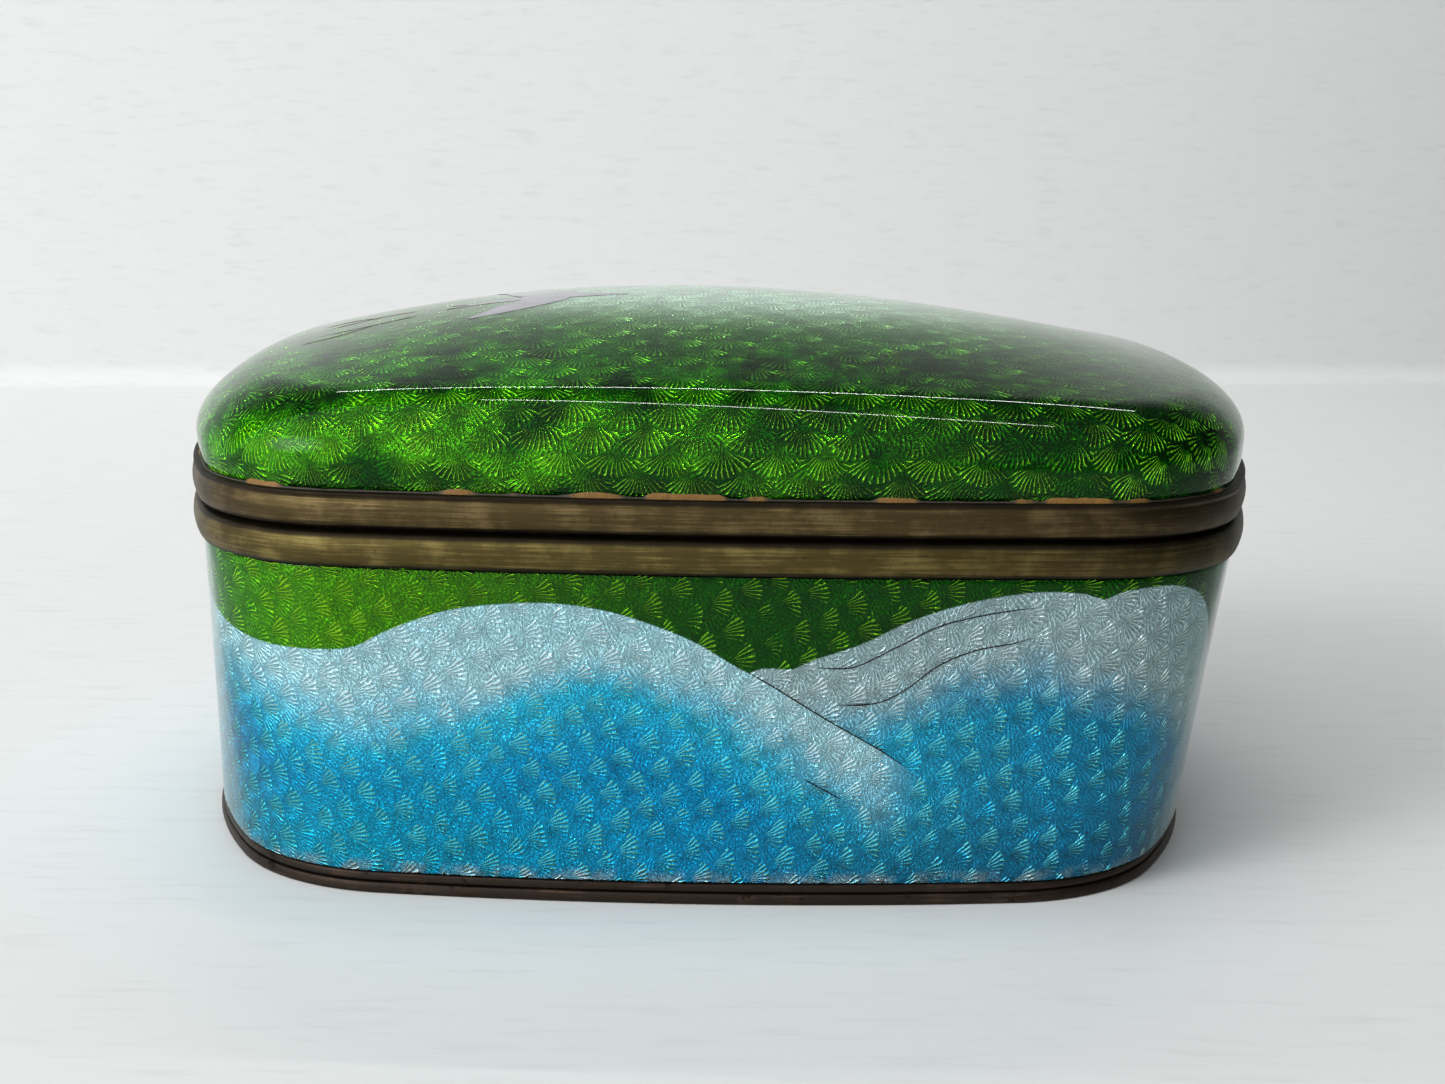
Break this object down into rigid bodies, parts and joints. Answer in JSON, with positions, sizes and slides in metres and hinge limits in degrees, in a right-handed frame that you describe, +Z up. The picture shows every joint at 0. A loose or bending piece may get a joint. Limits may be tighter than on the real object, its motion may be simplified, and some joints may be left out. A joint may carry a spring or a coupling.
{
  "type": "pill box",
  "caption": "Low cushion-shaped hinged box with a domed lid, enamelled over patterned foil on copper and bound with brass rims, for pills or small jewellery.",
  "frame": {"origin": "on the surface the box stands on, under the middle of the whole box with its hinge", "axes": "+Z up, front towards -Y, hinge along +Y side, +X to the right seen from the front"},
  "size_m": [0.075, 0.0588, 0.0371],
  "materials": {
    "foot_copper": "copper tarnished almost black, satin",
    "lining_enamel": "glossy dark blue enamel with fine speckle",
    "shell_copper": "plain pressed copper sheet",
    "body_enamel": "glossy transparent blue enamel over embossed silver foil, with pale wave crests and a green band",
    "rim_brass": "half-round brass, tarnished olive brown with worn pale edges",
    "bezel_brass": "thin brass strip, dulled",
    "lid_enamel": "glossy transparent green enamel over embossed silver foil, paling to mint on the crown",
    "hinge_brass": "tarnished brass tube and wire, rubbed brighter on the outside"
  },
  "bodies": {
    "box": {"foot_ring": "foot_copper", "foot_band": "foot_copper", "base_enamel": "lining_enamel", "body_copper_shell": "shell_copper", "body_enamel": "body_enamel", "body_lining": "lining_enamel", "body_rim": "rim_brass", "bezel": "bezel_brass", "hinge_bearer_body": "hinge_brass", "hinge_tube_1_body": "hinge_brass", "hinge_tube_3_body": "hinge_brass", "hinge_tube_5_body": "hinge_brass", "hinge_pin": "hinge_brass"},
    "lid": {"lid_rim": "rim_brass", "lid_enamel": "lid_enamel", "lid_copper_shell": "shell_copper", "lid_lining": "lining_enamel", "hinge_bearer_lid": "hinge_brass", "hinge_tube_2_lid": "hinge_brass", "hinge_tube_4_lid": "hinge_brass"}
  },
  "joints": [
    {"name": "lid_hinge", "type": "hinge", "parent": "box", "child": "lid", "pos_m": [0, 0.02825, 0.02425], "axis": [-1, 0, 0], "range_deg": [0, 100]}
  ]
}
